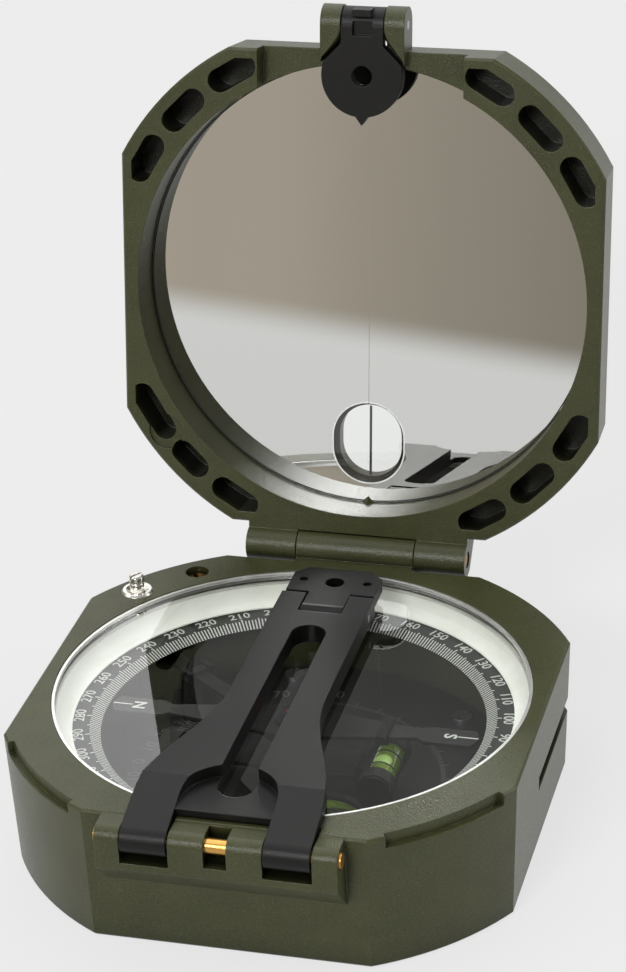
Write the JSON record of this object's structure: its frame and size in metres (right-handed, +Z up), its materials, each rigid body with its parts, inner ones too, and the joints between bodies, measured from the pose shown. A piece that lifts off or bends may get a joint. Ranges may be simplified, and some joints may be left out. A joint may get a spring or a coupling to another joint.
{
  "type": "hiking compass",
  "caption": "Pocket sighting compass: moulded case with mirror lid, folding front sight, slotted sight arm with peep, azimuth dial, needle lift, clinometer and levels.",
  "frame": {"origin": "centre of the case's flat bottom", "axes": "+Z up, +Y back towards the lid's hinge, +X to the right of someone looking into the mirror"},
  "size_m": [0.072, 0.1014, 0.1018],
  "materials": {
    "olive_plastic": "fine moulded grain, satin",
    "charcoal_plastic": "fine moulded grain, satin",
    "dial_black": "matt black paint",
    "scale_grey": "matt dark grey with printed figures",
    "glow_white": "luminous white, satin",
    "brass": "turned, bright",
    "chrome": "polished",
    "steel": "fine ground",
    "clear_glass": "clear",
    "mirror_glass": "silvered glass",
    "gasket_clear": "matt",
    "black_steel": "blackened steel, satin",
    "level_liquid": "clear green liquid",
    "ruby": "polished jewel",
    "line_black": "matt line"
  },
  "bodies": {
    "case": {"case_body": "olive_plastic", "base_plate": "dial_black", "plate_screws": "steel", "spindle_bush": "brass", "lid_hinge_pin": "brass", "arm_hinge_pin": "brass", "glow_ring": "glow_white", "crystal_gasket": "gasket_clear", "crystal": "clear_glass", "crystal_ring": "chrome", "lift_pin_bush": "chrome", "lift_spring": "steel", "lever_bracket": "black_steel", "lever_pivot_pin": "steel", "round_level_cup": "dial_black", "round_level_liquid": "level_liquid", "round_level_glass": "clear_glass"},
    "azimuth": {"azimuth_ring": "scale_grey"},
    "declination": {"declination_screw": "brass"},
    "lift_pin": {"lift_pin": "chrome"},
    "lift_lever": {"lift_lever": "black_steel"},
    "lift_ring": {"lift_ring": "black_steel"},
    "clinometer": {"clinometer_spindle": "steel", "vernier_arm": "dial_black", "level_holder": "dial_black", "tube_glass": "clear_glass", "tube_liquid": "level_liquid", "tube_caps": "black_steel", "thumb_lever": "dial_black", "lever_screw": "steel", "pivot_point": "steel"},
    "needle": {"needle_blade": "dial_black", "needle_hub": "black_steel", "needle_jewel": "ruby", "needle_balance": "black_steel"},
    "lid": {"lid_shell": "olive_plastic", "mirror_glass": "mirror_glass", "sight_window": "clear_glass", "sight_hairline": "line_black", "front_sight_pin": "steel"},
    "front_sight": {"front_sight": "charcoal_plastic"},
    "sight_arm": {"sight_arm": "charcoal_plastic", "peep_pin": "steel"},
    "peep_sight": {"peep_sight": "charcoal_plastic"}
  },
  "joints": [
    {"name": "lid_hinge", "type": "hinge", "parent": "case", "child": "lid", "pos_m": [0, 0.0394, 0.0215], "axis": [-1, 0, 0], "range_deg": [-99.2, 75.8]},
    {"name": "front_sight_hinge", "type": "hinge", "parent": "lid", "child": "front_sight", "pos_m": [0, 0.05539, 0.09894], "axis": [-1, 0, 0], "range_deg": [0, 175]},
    {"name": "sight_arm_hinge", "type": "hinge", "parent": "case", "child": "sight_arm", "pos_m": [0, -0.0383, 0.0189], "axis": [1, 0, 0], "range_deg": [0, 180]},
    {"name": "peep_hinge", "type": "hinge", "parent": "sight_arm", "child": "peep_sight", "pos_m": [0, 0.0179, 0.0224], "axis": [1, 0, 0], "range_deg": [0, 90]},
    {"name": "clinometer_turn", "type": "hinge", "parent": "case", "child": "clinometer", "pos_m": [0, 0, 0.0023], "axis": [0, 0, 1], "range_deg": [-90, 90]},
    {"name": "azimuth_turn", "type": "hinge", "parent": "case", "child": "azimuth", "pos_m": [0, 0, 0.014], "axis": [0, 0, 1], "range_deg": [-9, 9]},
    {"name": "declination_turn", "type": "hinge", "parent": "case", "child": "declination", "pos_m": [-0.02249, 0.02985, 0.014], "axis": [0, 0, 1], "range_deg": [-162, 162]},
    {"name": "lift_pin_slide", "type": "slide", "parent": "case", "child": "lift_pin", "axis": [0, 0, 1], "range_m": [-0.001, 0], "stiffness_N_per_m": 250, "springref_m": 0.001, "deforming": ["lift_spring"]},
    {"name": "lift_lever_pivot", "type": "hinge", "parent": "case", "child": "lift_lever", "pos_m": [-0.01827, 0.01397, 0.0127], "axis": [-0.6074, -0.7944, 0], "range_deg": [-0.1, 4.1]},
    {"name": "lift_ring_slide", "type": "slide", "parent": "case", "child": "lift_ring", "axis": [0, 0, 1], "range_m": [-0.00001, 0.0016]},
    {"name": "needle_spin", "type": "hinge", "parent": "lift_ring", "child": "needle", "pos_m": [0, 0, 0.0146], "axis": [0, 0, 1], "continuous": true}
  ],
  "couplings": [
    {"joint": "declination_turn", "follows": "azimuth_turn", "ratio": -17.686},
    {"joint": "lift_lever_pivot", "follows": "lift_pin_slide", "rad_per_m": -69.585},
    {"joint": "lift_ring_slide", "follows": "lift_pin_slide", "ratio": -1.5657}
  ]
}
